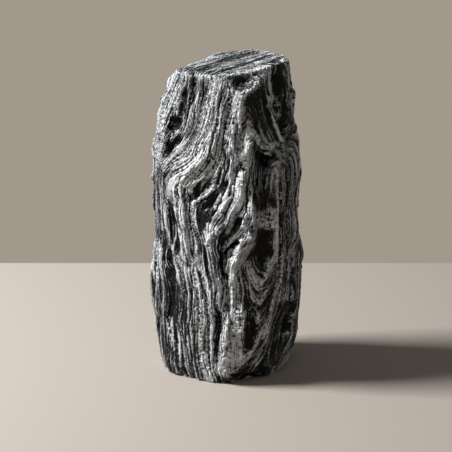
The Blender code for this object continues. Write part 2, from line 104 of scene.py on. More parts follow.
# Where layers run on the face of the stone: layer number in millimetres across the layers,
# then points (x, z) as seen from the front.
FACE_LAYERS = [
    (-41, [(-45, 291), (-51, 278), (-58, 263), (-62, 248), (-65, 228)]),
    (-22, [(-33, 286), (-37, 272), (-40, 254), (-42, 244), (-47, 235), (-56, 223), (-62, 212)]),
    (-12, [(-21, 289), (-24, 273), (-26, 259), (-38, 231), (-48, 218), (-58, 207), (-63, 197)]),
    (-4, [(-11, 289), (-18, 256), (-30, 229), (-51, 203), (-60, 190), (-60, 170), (-56, 114),
          (-50, 58), (-47, 8)]),
    (0, [(-6, 288), (-12, 260), (-19, 233), (-27, 214), (-36, 203), (-47, 190), (-46, 174),
         (-44, 146), (-39, 118), (-37, 85), (-35, 9)]),
    (6, [(1, 279), (-5, 256), (-10, 229), (-20, 205), (-29, 195), (-37, 184), (-34, 152),
         (-28, 115), (-22, 63), (-20, 7)]),
    (10, [(6, 275), (-1, 243), (-5, 215), (-12, 192), (-22, 174), (-27, 162), (-22, 139),
          (-16, 102), (-13, 64), (-11, 4)]),
    (15, [(13, 273), (8, 243), (4, 206), (1, 183), (-8, 164), (-18, 147), (-12, 122), (-8, 94),
          (-8, 55), (-7, 3)]),
    (20, [(18, 243), (15, 211), (12, 184), (4, 165), (-6, 141), (-9, 131), (-6, 108), (-4, 74),
          (-3, 35), (-2, 6)]),
    (24, [(21, 166), (15, 142), (3, 129), (-1, 123), (0, 104), (2, 75), (1, 35), (1, 10)]),
]
FOLD_LAYERS = [
    (24, [(23, 224), (22, 188)]),
    (31, [(28, 220), (28, 178), (25, 152), (18, 135), (8, 125), (6, 117), (7, 94), (9, 64),
          (8, 34), (5, 16)]),
    (38, [(15, 82), (15, 53), (19, 35), (29, 65), (36, 83), (45, 105), (54, 132), (56, 170)]),
    (42, [(19, 101), (27, 82), (38, 92)]),
    (47, [(32, 218), (30, 186), (28, 154), (22, 138), (18, 125), (30, 97), (47, 113), (51, 133),
          (53, 171), (52, 205)]),
    (56, [(42, 202), (38, 175), (32, 143), (31, 117), (40, 126)]),
    (26, [(24, 18), (33, 33), (41, 56), (50, 84), (56, 112), (59, 169)]),
    (15, [(47, 28), (56, 61), (61, 101), (63, 166)]),
    (4, [(55, 7), (64, 46), (67, 97), (66, 163)]),
]

# Above the lip the layers run straight down from the top: places (x, y) and layer numbers.
ABOVE_LIP = [((20, -51), 19.0), ((44, -17), -2.0), ((57, 0), -8.0)]
ABOVE_HEIGHTS = (230.0, 250.0, 270.0, 290.0)

# The lip that parts the two, as (x, height, height over which one passes into the other).
LIP = [
    (0, 250, 60), (21, 237, 4), (26, 243, 4), (32, 226, 4), (40, 220, 4), (50, 214, 20),
    (62, 225, 80),
]

# Where layers cross the broken top: layer number, then points (x, y) from above.
TOP_LAYERS = [
    (0, [(-4, -33), (25, -10), (56, 13)]),
    (-4, [(-10, -31), (22, -5), (54, 20)]),
    (-12, [(-20, -28), (15, 2), (50, 31)]),
    (-22, [(-32, -23), (5, 12), (38, 42)]),
    (-41, [(-42, -6), (-12, 20), (10, 40)]),
]

# On the sides that face away the layers stand upright, and the bend carries them aside below
# its hinge: a place (x, y) on each, the shift, and the hinge's height.
FAR_SIDES = [
    ((-73, 5), 36.0, 205.0), ((-57, 34), 30.0, 225.0), ((-23, 55), 22.0, 245.0),
    ((25, 59), 12.0, 262.0), ((57, 46), 4.0, 275.0), ((69, 12), 0.0, 275.0),
]
FAR_HEIGHTS = (6.0, 50.0, 95.0, 140.0, 185.0, 230.0, 275.0)
BEND_DEPTH = 60.0


def smooth_step(value):
    """0 below 0, 1 above 1, and a smooth rise between."""
    value = np.clip(value, 0.0, 1.0)
    return value * value * (3.0 - 2.0 * value)


def read_places(made):
    """The mesh's vertices and outward directions as arrays, in millimetres."""
    count = len(made.data.vertices)
    places = np.empty(count * 3, dtype=np.float32)
    outward = np.empty(count * 3, dtype=np.float32)
    made.data.vertices.foreach_get("co", places)
    made.data.vertices.foreach_get("normal", outward)
    return places.reshape(-1, 3).astype(float) / MM, outward.reshape(-1, 3).astype(float)


def drawn_guides(lines, outside, inward):
    """Guides (x, y, z, layer number) where drawn lines fall on the solid, as seen from one side."""
    surface = BVHTree.FromObject(cad_stone, bpy.context.evaluated_depsgraph_get())
    guides = []
    for number, line in lines:
        for spot in line:
            place = surface.ray_cast((outside(*spot) + FRAME_FROM_LAYOUT) * MM, inward)[0]
            if place:
                guides.append((*(place / MM), number))
    return guides


def upright_guides(sides, heights):
    """Guides where layers stand upright: each side's place (x, y) and its number by height."""
    return [
        (*(Vector((*spot, height)) + FRAME_FROM_LAYOUT), number(spot, height))
        for spot, number in sides for height in heights
    ]


def bent_aside(shift, hinge):
    """How the number of an upright layer runs with height, where the bend carries it aside."""
    def number(spot, height):
        straight = sum(way * (at - zero) for way, at, zero in zip(LAYER_ACROSS, spot, LAYER_ZERO))
        return straight + shift * min(max((hinge - height) / BEND_DEPTH, 0.0), 1.0)
    return number


def smoothest_field(guides):
    """Where the guides are, and the weights of the smoothest field that passes through them."""
    guides = np.array(guides, dtype=float)
    known = guides[:, :3]
    apart = np.linalg.norm(known[:, None, :] - known[None, :, :], axis=2)
    flat = np.hstack([np.ones((len(known), 1)), known])
    system = np.block([[apart, flat], [flat.T, np.zeros((4, 4))]])
    return known, np.linalg.lstsq(system, np.append(guides[:, 3], np.zeros(4)), rcond=None)[0]


def read_field(field, places):
    """The field's value at each place."""
    known, weights = field
    found = weights[-4] + places @ weights[-3:]
    for place, weight in zip(known, weights):
        found += weight * np.linalg.norm(places - place, axis=1)
    return found


front, above = Vector((0, 1, 0)), Vector((0, 0, -1))
shared_guides = drawn_guides(FACE_LAYERS, lambda x, z: Vector((x, -FAR_OUT, z)), front)
shared_guides += drawn_guides(TOP_LAYERS, lambda x, y: Vector((x, y, FAR_OUT)), above)
shared_guides += upright_guides(
    [(spot, bent_aside(shift, hinge)) for spot, shift, hinge in FAR_SIDES], FAR_HEIGHTS)
fold_guides = drawn_guides(FOLD_LAYERS, lambda x, z: Vector((x, -FAR_OUT, z)), front)
straight_guides = upright_guides(
    [(spot, lambda *_, fixed=number: fixed) for spot, number in ABOVE_LIP], ABOVE_HEIGHTS)
below_field = smoothest_field(shared_guides + fold_guides)
above_field = smoothest_field(shared_guides + straight_guides)


def layer_numbers(places):
    """The layer number at each place, in the fold below the lip and straight above it."""
    lip_x, lip_height, passing = zip(*LIP)
    x = places[:, 0] - FRAME_FROM_LAYOUT[0]
    height = places[:, 2] - FRAME_FROM_LAYOUT[2] - np.interp(x, lip_x, lip_height)
    share = smooth_step(height / np.interp(x, lip_x, passing) + 0.5)
    below = read_field(below_field, places)
    return below + share * (read_field(above_field, places) - below)


# ---- The stone: quartz and mica, and painted light and shade ----------------------------
# Some places are richer in light quartz and feldspar, and some in dark mica. A few light
# places are painted light that lifts places in shade, one is partly a painted highlight on
# crystals, and the dark ones include painted shade in the prow's hollow, along the foot and
# in every crack. The skin of both is less split than the rest.

# Breaks on the face: (shape, width, height, points (x, z) as seen from the front). A rib of
# quartz stands proud, a dip goes in, a crack does too and is dark, with mica and painted shade
# in the crack, and a step goes in on the right of its line.
BREAKS = [
    ("rib", 3.2, 4.4, [(21, 174), (19, 166), (16, 156), (12, 149), (4, 140), (-2, 131)]),
    ("crack", 1.8, 4.2, [(24, 168), (20, 158), (16, 146), (8, 138), (0, 129), (-3, 119)]),
    ("rib", 5, 4.6, [(26, 158), (23, 145), (20, 136), (12, 128), (6, 121), (1, 108), (-1, 88),
                     (-1, 76)]),
    ("crack", 1.8, 2.8, [(-3, 155), (-4, 136), (-5, 118), (-3, 97), (-5, 66)]),
    ("rib", 6, 4.4, [(21, 248), (20, 226), (19, 212), (13, 199), (12, 176)]),
    ("crack", 1.6, 2.6, [(21, 234), (22, 217), (21, 203), (18, 190), (18, 164)]),
    ("rib", 1.6, 1.6, [(25, 232), (24, 219), (24, 208), (22, 198)]),
    ("rib", 5, 2.5, [(15, 228), (15, 212), (12, 196)]),
    ("rib", 3, 1.0, [(4, 243), (4, 234), (2, 222)]),
    ("rib", 5, 2.4, [(4, 184), (-2, 173), (-7, 166)]),
    ("rib", 4, 2.0, [(-13, 146), (-17, 139), (-15, 132)]),
    ("crack", 1.4, 1.6, [(-6, 186), (-14, 173), (-21, 160)]),
    ("crack", 1.2, 1.4, [(-4, 180), (-10, 168), (-15, 160)]),
    ("rib", 12, 7.0, [(9, 86), (12, 72), (12, 58), (11, 38), (8, 14)]),
    ("dip", 7, 2.0, [(-8, 86), (-8, 60), (-9, 38), (-9, 14)]),
    ("rib", 2.6, 2.4, [(0, 78), (0, 60), (-1, 38)]),
    ("rib", 2.6, 2.6, [(5, 100), (6, 75), (5, 50), (3, 28)]),
    ("rib", 2.4, 2.4, [(11, 92), (12, 70), (11, 48)]),
    ("crack", 5, 4.0, [(-50, 243), (-53, 234), (-55, 226), (-57, 217)]),
    ("step", 9, 2.2, [(21, 246), (25, 237), (29, 228), (36, 224), (42, 222), (48, 212)]),
    ("rib", 4.2, 4.4, [(21, 246), (26, 236), (31, 228), (40, 224), (46, 225)]),
    ("rib", 2.0, 2.0, [(44, 222), (48, 213), (55, 204)]),
    ("rib", 1.4, 1.2, [(23, 230), (28, 221), (35, 217), (40, 213)]),
    ("step", 8, 2.8, [(13, 238), (13, 243), (14, 253), (15, 264), (14, 278)]),
    ("rib", 8, 3.2, [(11, 281), (12, 266), (11, 253), (8, 236)]),
    ("rib", 9, 3.0, [(-8, 292), (-8, 272), (-8, 256), (-10, 243), (-16, 228), (-24, 215)]),
    ("rib", 7, 2.4, [(-40, 284), (-45, 270), (-47, 256)]),
    ("rib", 7, 1.0, [(-12, 218), (-21, 204), (-33, 192), (-48, 184)]),
    ("rib", 3, 1.6, [(13, 275), (23, 280), (32, 286)]),
    ("crack", 1.8, 1.8, [(-3, 228), (-2, 210), (-3, 190)]),
    ("crack", 2.4, 2.4, [(32, 219), (32, 206), (28, 192), (25, 176)]),
    ("rib", 5, 2.0, [(17, 117), (23, 104), (29, 92), (37, 103), (46, 117)]),
    ("rib", 1.4, 1.0, [(18, 98), (24, 88), (30, 78), (37, 87), (46, 98)]),
    ("rib", 2.4, 3.4, [(28, 162), (34, 158), (42, 153)]),
    ("rib", 2.0, 3.0, [(39, 172), (40, 162), (42, 151)]),
    ("rib", 1.8, 2.4, [(46, 163), (40, 154)]),
    ("rib", 1.5, 1.6, [(52, 126), (52, 110), (51, 88)]),
    ("rib", 1.4, 1.2, [(48, 178), (47, 150), (47, 122)]),
    ("rib", 1.3, 0.8, [(18, 96), (25, 86), (31, 76), (38, 85)]),
    ("rib", 2.0, 1.2, [(37, 57), (31, 44), (25, 33), (21, 25), (12, 19), (5, 16)]),
    ("rib", 1.4, 0.9, [(46, 84), (42, 69), (39, 56), (33, 42)]),
    ("crack", 2.2, 1.6, [(18, 80), (17, 62), (17, 40)]),
    ("rib", 1.5, 1.3, [(38, 293), (40, 274), (38, 261), (44, 245), (52, 225), (55, 204)]),
    ("crack", 4.2, 3.4, [(-34, 285), (-39, 271), (-42, 258), (-43, 246), (-46, 234)]),
    ("crack", 1.4, 1.4, [(-21, 288), (-22, 273), (-25, 262)]),
    ("crack", 2.0, 1.8, [(-5, 287), (-6, 270), (-8, 250), (-14, 229), (-19, 212)]),
    ("crack", 1.1, 1.4, [(2, 286), (2, 278), (2, 268)]),
    ("crack", 1.1, 1.0, [(3, 280), (4, 267)]),
    ("crack", 1.8, 2.6, [(10, 256), (8, 237), (6, 217), (5, 206)]),
    ("rib", 1.4, 1.2, [(3, 240), (2, 225), (4, 211), (3, 192)]),
    ("rib", 1.4, 1.0, [(-6, 212), (-9, 204), (-11, 196)]),
    ("rib", 1.8, 1.4, [(-36, 188), (-25, 195), (-18, 203)]),
    ("rib", 1.8, 1.4, [(-34, 171), (-22, 179), (-10, 190)]),
    ("crack", 1.5, 1.4, [(-30, 170), (-18, 178), (-7, 190)]),
    ("crack", 1.8, 2.0, [(-55, 174), (-53, 151), (-51, 127)]),
    ("rib", 3, 1.4, [(-56, 56), (-55, 43), (-47, 27)]),
    ("crack", 2.0, 1.8, [(-59, 132), (-60, 113), (-56, 97)]),
    ("crack", 1.6, 1.4, [(-38, 62), (-35, 35), (-33, 15)]),
    ("crack", 1.6, 1.4, [(-52, 74), (-56, 56), (-52, 36)]),
    ("crack", 1.6, 1.6, [(50, 205), (50, 172), (50, 134), (49, 90)]),
    ("crack", 1.4, 1.4, [(57, 205), (56, 160), (57, 121), (56, 80)]),
]
BREAK_ENDS = 0.25          # share of a break's line over which it starts and ends

# Rich places on the face: width, strength, points (x, z) as seen from the front. Every rib is
# rich in quartz, and every crack is dark along its line with mica and painted shade in the
# crack. A few places are painted light that lifts shade, and a few are painted shade, as
# marked below. Where places meet the richest counts.
QUARTZ_AND_PAINTED_LIGHT = [
    (8, 1.2, [(-43, 290), (-49, 273), (-53, 261)]),
    (6, 1.7, [(-62, 252), (-64, 238), (-66, 222), (-66, 210)]),
    (8, 1.1, [(-13, 289), (-14, 274), (-13, 261), (-13, 246), (-19, 229), (-33, 217), (-48, 206)]),
    (7, 0.5, [(-25, 284), (-28, 269), (-31, 250), (-41, 232), (-55, 215), (-65, 204)]),
    (9, 1.3, [(6, 279), (7, 266), (6, 253), (4, 238)]),
    (5, 1.3, [(14, 276), (24, 281), (32, 286), (36, 291)]),
    (10, 1.1, [(-16, 223), (-24, 209), (-35, 198), (-43, 193)]),
    (5, 1.4, [(-24, 219), (-33, 210), (-42, 200)]),
    (5, 1.1, [(-33, 190), (-34, 170), (-33, 150), (-32, 132)]),
    (5, 0.6, [(-37, 108), (-38, 80)]),
    (6, 0.8, [(-20, 16), (-17, 5)]),
    # painted light on the ledge beside the prow's hollow, where it lies in shade
    (4, 1.4, [(25, 289), (31, 291)]),
    (6, 1.1, [(-34, 223), (-45, 212), (-58, 203)]),
    (8, 1.1, [(18, 238), (16, 225), (14, 211), (11, 197), (11, 180)]),
    (3.5, 1.5, [(21, 246), (25, 237), (29, 229), (36, 225), (42, 223), (48, 213)]),
    (6, 1.0, [(2, 186), (-4, 177), (-8, 172)]),
    (6, 1.4, [(-15, 148), (-19, 142), (-17, 136)]),
    (6, 0.6, [(17, 117), (23, 104), (29, 92), (37, 103), (46, 117)]),
    (6, 0.7, [(-60, 176), (-61, 160)]),
    (6, 1.0, [(-25, 80), (-23, 50), (-22, 30)]),
    (4, 1.0, [(-56, 54), (-55, 43), (-47, 29)]),
    (7, 1.3, [(20, 144), (16, 137), (10, 130), (4, 122), (3, 108)]),
    # painted light, lifting a place that lies in shadow
    (4, 0.8, [(8, 172), (4, 160), (1, 150)]),
    (3.5, 1.3, [(18, 164), (16, 157), (11, 149), (4, 141), (-2, 133)]),
    (30, 0.75, [(-14, 284), (-10, 250), (-22, 222)]),
    (14, 0.8, [(-50, 285), (-60, 256)]),
    (6, 0.2, [(-42, 183), (-40, 160), (-39, 138), (-36, 119)]),
    (8, 1.2, [(-28, 117), (-23, 91), (-21, 63), (-19, 14)]),
    (8, 1.2, [(-69, 120), (-69, 110), (-68, 98)]),
    # painted light, lifting the shaded recess
    (9, 0.8, [(-13, 212), (-20, 197), (-27, 186)]),
    (4, 1.0, [(50, 122), (50, 98), (49, 76)]),
    (11, 1.6, [(3, 104), (4, 79), (4, 64), (3, 46), (0, 26), (-3, 18)]),
    (6, 0.8, [(-6, 105), (-8, 93), (-11, 63), (-12, 33)]),
    (6, 0.45, [(-29, 51), (-26, 37), (-25, 20)]),
    # crystals, partly a painted highlight where their glints fall in shade
    (9, 2.0, [(31, 158), (39, 160), (41, 154)]),
    (13, 0.6, [(54, 210), (53, 171), (53, 133), (54, 84)]),
    (2.5, 0.7, [(42, 267), (46, 259), (48, 249)]),
]
MICA_AND_PAINTED_SHADE = [
    # painted shadow on the wall of the hollow at the top of the prow
    (5, 1.8, [(-3, 288), (3, 287), (13, 290)]),
    (6, 0.8, [(-48, 120), (-46, 98), (-45, 66), (-43, 45), (-42, 22)]),
    (6, 1.8, [(-12, 182), (-16, 168), (-20, 159)]),
    (4, 1.0, [(10, 42), (12, 36)]),
    (6, 0.7, [(65, 62), (62, 40)]),
    (3.5, 0.8, [(24, 172), (21, 162)]),
    (4, 0.8, [(-22, 158), (-20, 150)]),
    (7, 0.7, [(67, 140), (69, 105), (68, 80)]),
    (6, 1.5, [(-34, 285), (-39, 271), (-42, 258), (-43, 246), (-46, 234)]),
    (7, 1.3, [(-50, 246), (-53, 236), (-54, 228), (-54, 220)]),
    (7, 2.0, [(-50, 237), (-55, 229)]),
    (12, 2.0, [(-50, 90), (-47, 64)]),
    (7, 0.9, [(-41, 62), (-40, 36)]),
    (5, 1.8, [(-61, 259), (-60, 251)]),
    (5, 1.5, [(-2, 192), (-8, 184)]),
    (4, 0.8, [(-34, 128), (-33, 108)]),
    (7, 1.0, [(-31, 176), (-27, 163)]),
    (5, 1.0, [(-50, 232), (-63, 213)]),
    (3, 0.8, [(-21, 288), (-22, 273), (-25, 262)]),
    (4, 0.8, [(-5, 287), (-6, 270), (-8, 250), (-14, 229), (-19, 212)]),
    (14, 0.85, [(29, 280), (30, 249)]),
    (9, 1.0, [(48, 293), (49, 269), (53, 251), (56, 232)]),
    (4, 1.1, [(-54, 172), (-53, 150), (-52, 131)]),
    (7, 0.9, [(-60, 132), (-60, 113), (-56, 90)]),
    (3.0, 0.4, [(-3, 155), (-4, 136), (-5, 118), (-3, 97)]),
    (9, 1.1, [(26, 143), (38, 143)]),
    (8, 1.1, [(28, 130), (37, 127)]),
    (5, 1.0, [(30, 115), (34, 112)]),
    (5, 0.9, [(18, 80), (17, 62), (17, 40)]),
    (8, 1.0, [(58, 64), (55, 48), (52, 33), (46, 16)]),
    # painted shade along the foot, for the dark gap where it meets the table
    (7, 1.5, [(-4, 2), (8, 6), (20, 8), (36, 6)]),
    (13, 0.9, [(29, 219), (36, 202), (38, 168)]),
    (24, 0.85, [(-56, 84), (-50, 48), (-44, 18)]),
]

# The same on the broken top and the ledge below it: points (x, y) as seen from above.
TOP_QUARTZ_AND_PAINTED_LIGHT = [
    (2.5, 1.4, [(-4, -38), (9, -30), (22, -17), (36, -2)]),
    (3, 0.8, [(17, -6), (38, 17)]),
    (7, 1.6, [(14, -44), (22, -33), (28, -22), (35, -9)]),
    # painted light on the ledge beside the prow's hollow, where it lies in shade
    (6, 1.6, [(24, -24), (31, -14)]),
    (5, 0.9, [(-22, 23), (-14, 24)]),
    (70, 0.35, [(-20, 0), (30, 10)]),
]
TOP_MICA_AND_PAINTED_SHADE = [
    (10, 1.2, [(-47, -8), (-34, -17)]),
    (6, 1.2, [(44, 4), (56, 10)]),
    (6, 1.3, [(52, 22), (60, 22)]),
    (5, 1.6, [(2, -46), (9, -44)]),
    (8, 1.0, [(-34, -20), (-20, -26)]),
    (5, 0.7, [(-12, 34), (5, 42), (28, 46)]),
    # painted shadow in the floor of the hollow at the top of the prow
    (7, 2.2, [(-5, -41), (2, -41), (9, -36), (13, -33)]),
    (6, 1.3, [(-34, -27), (-20, -8), (3, 19), (26, 39)]),
    (3, 1.3, [(-14, -32), (3, -13), (21, 6), (40, 30)]),
]
RICH_SOLID = 0.6           # share of a rich place's width before it begins to fade
RIB_RICH = 1.5             # width of a rib's quartz against the rib's own, and the most
RIB_RICH_MOST = 4.0
CRACK_DARK = 1.2           # width of a crack's dark band of mica and painted shade, against the crack's own
RAGGED = 0.9               # how far an outline wanders, and over what length
RAGGED_RUN = 6.0
RAGGED_SEED = 1            # any number does, and another gives another wander
SEEN_FROM = 0.05           # they fade out where the surface turns away from the front
SEEN_OVER = 0.3
UP_FROM = 0.3              # the top's own take over where it turns upwards
UP_OVER = 0.3
QUARTZ_OVER_MICA = 0.4     # share of the mica that gives way where quartz is rich

for shape, width, _, line in BREAKS:
    if shape == "rib":
        QUARTZ_AND_PAINTED_LIGHT.append((min(RIB_RICH * width, RIB_RICH_MOST), 1.0, line))
    # Every crack is dark along its line: mica and painted shade in the crack.
    elif shape == "crack":
        MICA_AND_PAINTED_SHADE.append((CRACK_DARK * width, 1.0, line))
noise.seed_set(RAGGED_SEED)


def follow_line(spots, line):
    """How spots lie to a line: their distance, how far to its left, and the share along it."""
    runs = [math.dist(start, end) for start, end in zip(line, line[1:])]
    far = np.full(len(spots), np.inf)
    left = np.zeros(len(spots))
    along = np.zeros(len(spots))
    for index, (start, end) in enumerate(zip(line, line[1:])):
        ahead = (np.array(end, dtype=float) - np.array(start, dtype=float)) / runs[index]
        went = np.clip((spots - start) @ ahead, 0.0, runs[index])
        gap = spots - start - went[:, None] * ahead
        reach = np.linalg.norm(gap, axis=1)
        nearer = reach < far
        far[nearer] = reach[nearer]
        left[nearer] = (ahead[0] * gap[:, 1] - ahead[1] * gap[:, 0])[nearer]
        along[nearer] = (sum(runs[:index]) + went[nearer]) / sum(runs)
    return far, left, along


def fade_in(value, start, over):
    """0 up to the start, then a smooth rise to 1."""
    return smooth_step((value - start) / over)


def seen_from_front(outward):
    """1 where the surface faces the front, fading to 0 where it turns away."""
    return fade_in(-outward[:, 1], SEEN_FROM, SEEN_OVER)


def wandering(places):
    """Where places are, wandering a little."""
    return places + RAGGED * np.array([
        noise.noise_vector(Vector(place) / RAGGED_RUN) for place in places])


def rich_places(spots, rich):
    """How rich each place is by one list, in its mineral and any painted light or shade it holds: 0
    is none, and 1 or more is rich.
    """
    found = np.zeros(len(spots))
    for width, strength, line in rich:
        far = follow_line(spots, line)[0] / width
        found = np.maximum(found, strength * (1.0 - fade_in(far, RICH_SOLID, RICH_SOLID)))
    return found


def minerals_and_painted_light(places, outward):
    """How rich each place is in quartz and in mica, with the painted light and shade their lists
    hold, from the face and from the top.
    """
    spots = wandering(places)
    from_front = seen_from_front(outward)
    from_above = fade_in(outward[:, 2], UP_FROM, UP_OVER)
    found = []
    for on_face, on_top in ((QUARTZ_AND_PAINTED_LIGHT, TOP_QUARTZ_AND_PAINTED_LIGHT), (MICA_AND_PAINTED_SHADE, TOP_MICA_AND_PAINTED_SHADE)):
        face_share = rich_places(spots[:, [0, 2]], on_face) * from_front
        top_share = rich_places(spots[:, [0, 1]], on_top)
        found.append(face_share + from_above * (top_share - face_share))
    return found[0], found[1] * (1.0 - QUARTZ_OVER_MICA * np.minimum(found[0], 1.0))


# ---- The stone: how it split ------------------------------------------------------------
# The rock parted along its layers into slats and splinters, and across them in short steps.
# The skin is moved in and out square to itself, in millimetres, and thinned afterwards.

SKIN_FACES = 196000        # triangles kept
SHARP_FROM = 28.0          # edges sharper than that, in degrees, stay crisp
SKIN_INSET = 0.5           # the skin lies that far in, so that what stands out ends at the solid

# Slats and splinters, and the fibres on them, as (size across the layers, size along them,
# depth).
SLATS = [(7.0, 120.0, 0.5), (3.2, 70.0, 1.0), (1.8, 44.0, 0.75)]
SLAT_EDGE = 0.10           # share of a slat's width over which it drops to the next
FIBRES = [(1.8, 60.0, 0.8), (1.1, 36.0, 0.8)]
FIBRE_MIDDLE = 0.6         # middle height of a fibre's ridge, against its depth
FIBRE_ORDER = 5            # keeps the fibres' pattern apart from the slats'
ORDER_SHIFT = 7.3          # how far apart the patterns of the several sizes start
LEVEL_STRETCH = 3.0        # how much shorter than its length a form is from side to side
CELL_PICK = 7.0            # spreads the cells' middles, so that each draws its own number
GRAIN = (2.0, 0.4)         # size of the broken grain, and how far it stands out
CHIPS = (4.0, 1.3)         # size of the chips quartz breaks into, and how far they stand out

# Shares of the relief lost by level faces, by faces along the layers, in rich places and
# close to the rim of the top, which is a sloping plane.
LEVEL_LOSS = 0.85
LEVEL_FACE = (0.6, 0.3)    # how squarely a face looks up or down to count as level, and its fade
ALONG_LOSS = 0.75
ALONG_FACE = (0.82, 0.12)  # the same for a face along the layers
QUARTZ_LOSS = 0.35
MICA_LOSS = 0.6
RIM_LOSS = 0.6
RIM_FROM = 1.0             # depth below the top's plane where the rim's loss begins to fade
RIM_DEPTH = 7.0
TOP_AT_CENTRE = 295.6
TOP_SLOPE = 0.083


def laid_along(places, layers, across, along, order):
    """Places in a space where a form `across` wide and `along` long, on the layers, is one unit."""
    return np.column_stack([
        layers / across + ORDER_SHIFT * order, places[:, 2] / along,
        places[:, 0] / (LEVEL_STRETCH * along)])


def slat_heights(places, layers):
    """Slats that split off to different depths, each dropping steeply to the next."""
    height = np.zeros(len(places))
    for order, (across, along, depth) in enumerate(SLATS):
        laid = laid_along(places, layers, across, along, order)
        for index, spot in enumerate(laid):
            reaches, centres = noise.voronoi(Vector(spot))
            own = min((reaches[1] - reaches[0]) / SLAT_EDGE, 1.0)
            share = 0.5 + 0.5 * own * own * (3.0 - 2.0 * own)
            levels = [noise.cell(centre * CELL_PICK) for centre in centres[:2]]
            height[index] += depth * (share * levels[0] + (1.0 - share) * levels[1])
    return height


def fibre_heights(places, layers):
    """Fine ridges and grooves along the layers."""
    height = np.zeros(len(places))
    for order, (across, along, depth) in enumerate(FIBRES):
        laid = laid_along(places, layers, across, along, order + FIBRE_ORDER)
        ridge = np.array([1.0 - 2.0 * abs(noise.noise(Vector(spot))) for spot in laid])
        height += depth * (ridge - FIBRE_MIDDLE)
    return height


def grain_heights(places):
    """Grains standing out of the broken surface."""
    size, depth = GRAIN
    return depth * np.array([noise.noise(Vector(place) / size) for place in places])


def chip_heights(places):
    """Quartz broken into chips, each tilted its own way."""
    size, depth = CHIPS
    height = np.zeros(len(places))
    for index, place in enumerate(places):
        spot = Vector(place) / size
        centre = noise.voronoi(spot)[1][0]
        tilt = noise.cell_vector(centre * CELL_PICK) - Vector((0.5, 0.5, 0.5))
        height[index] = depth * (spot - centre).dot(tilt)
    return height


def break_heights(places, outward):
    """The named ribs, cracks and steps."""
    spots = wandering(places)[:, [0, 2]]
    height = np.zeros(len(places))
    for shape, width, rise, line in BREAKS:
        far, left, along = follow_line(spots, line)
        ends = smooth_step(np.minimum(along, 1.0 - along) / BREAK_ENDS)
        swell = rise * ends * (1.0 - smooth_step(far / width))
        if shape == "rib":
            height += swell
        else:
            height -= swell * (left < 0.0) if shape == "step" else swell
    return height * seen_from_front(outward)


places, outward = read_places(stone)
layers = layer_numbers(places)
along_face = fade_in(np.abs(outward @ np.array((*LAYER_ACROSS, 0.0))), *ALONG_FACE)
level_face = fade_in(np.abs(outward[:, 2]), *LEVEL_FACE)
below_top = TOP_AT_CENTRE + TOP_SLOPE * places[:, 1] - places[:, 2]
near_top = 1.0 - fade_in(below_top, RIM_FROM, RIM_DEPTH)
rich_in_quartz_and_painted_light, rich_in_mica_and_painted_shade = minerals_and_painted_light(places, outward)
relief = slat_heights(places, layers) + fibre_heights(places, layers)
relief *= (1.0 - LEVEL_LOSS * level_face) * (1.0 - ALONG_LOSS * along_face)
relief *= (1.0 - QUARTZ_LOSS * rich_in_quartz_and_painted_light) * (1.0 - MICA_LOSS * rich_in_mica_and_painted_shade)
relief *= 1.0 - RIM_LOSS * near_top
relief += chip_heights(places) * rich_in_quartz_and_painted_light ** 2
relief += grain_heights(places) + break_heights(places, outward) - SKIN_INSET
worked = places + outward * relief[:, None]
stone.data.vertices.foreach_set("co", (worked * MM).astype(np.float32).ravel())
stone.data.update()

triangles = sum(len(face.vertices) - 2 for face in stone.data.polygons)
if triangles > SKIN_FACES:
    thinner = stone.modifiers.new("thinner", "DECIMATE")
    thinner.ratio = SKIN_FACES / triangles
    thinner.use_collapse_triangulate = True
    apply_modifiers(stone)
places = read_places(stone)[0] * MM
places = np.clip(places, np.array(solid_box[0]), np.array(solid_box[1]))
stone.data.vertices.foreach_set("co", places.astype(np.float32).ravel())
stone.data.update()
stone.data.shade_smooth()
stone.data.set_sharp_from_angle(angle=math.radians(SHARP_FROM))


# ---- The stone: what its colour follows -------------------------------------------------
# Faces that parted along the layers show mica, hollows are darkened with painted shade and some
# dirt, and edges are worn light while fine grooves are darkened with painted shade.

EDGE_PASSES = 3            # times the surface is evened to find its edges, its hollows, and
HOLLOW_PASSES = 60         # the broad faces that parted along the layers
PARTED_PASSES = 20
PARTED_FACE = (0.84, 0.1)  # how squarely such a face looks across the layers, and its fade


def edge_ends(made):
    """The two vertices of each of the mesh's edges."""
    ends = np.empty(len(made.data.edges) * 2, dtype=np.int32)
    made.data.edges.foreach_get("vertices", ends)
    return ends.reshape(-1, 2).T


def even_out(values, ends, passes):
    """Values averaged with their neighbours', again and again."""
    first, second = ends
    count = len(values)
    degree = 1.0 + np.bincount(first, minlength=count) + np.bincount(second, minlength=count)
    for _ in range(passes):
        total = values.copy()
        total += np.bincount(first, values[second], minlength=count)
        total += np.bincount(second, values[first], minlength=count)
        values = total / degree
    return values


def proudness(places, outward, ends, passes):
    """How far each place stands out of the evened surface, in millimetres."""
    evened = np.column_stack([even_out(column, ends, passes) for column in places.T])
    return np.einsum("ij,ij->i", places - evened, outward)


def keep_attribute(made, name, values):
    """Store one number for each vertex, for the material to read."""
    attribute = made.data.attributes.new(name, "FLOAT", "POINT")
    attribute.data.foreach_set("value", values.astype(np.float32))


places, outward = read_places(stone)
layers = layer_numbers(places)
ends = edge_ends(stone)
keep_attribute(stone, "layer", layers)
keep_attribute(stone, "edge", proudness(places, outward, ends, EDGE_PASSES))
keep_attribute(stone, "hollow", proudness(places, outward, ends, HOLLOW_PASSES))
broadly = np.abs(even_out(outward @ np.array((*LAYER_ACROSS, 0.0)), ends, PARTED_PASSES))
keep_attribute(stone, "parted", fade_in(broadly, *PARTED_FACE))
for field_name, share in zip(("quartz_and_painted_light", "mica_and_painted_shade"), minerals_and_painted_light(places, outward)):
    keep_attribute(stone, field_name, share)


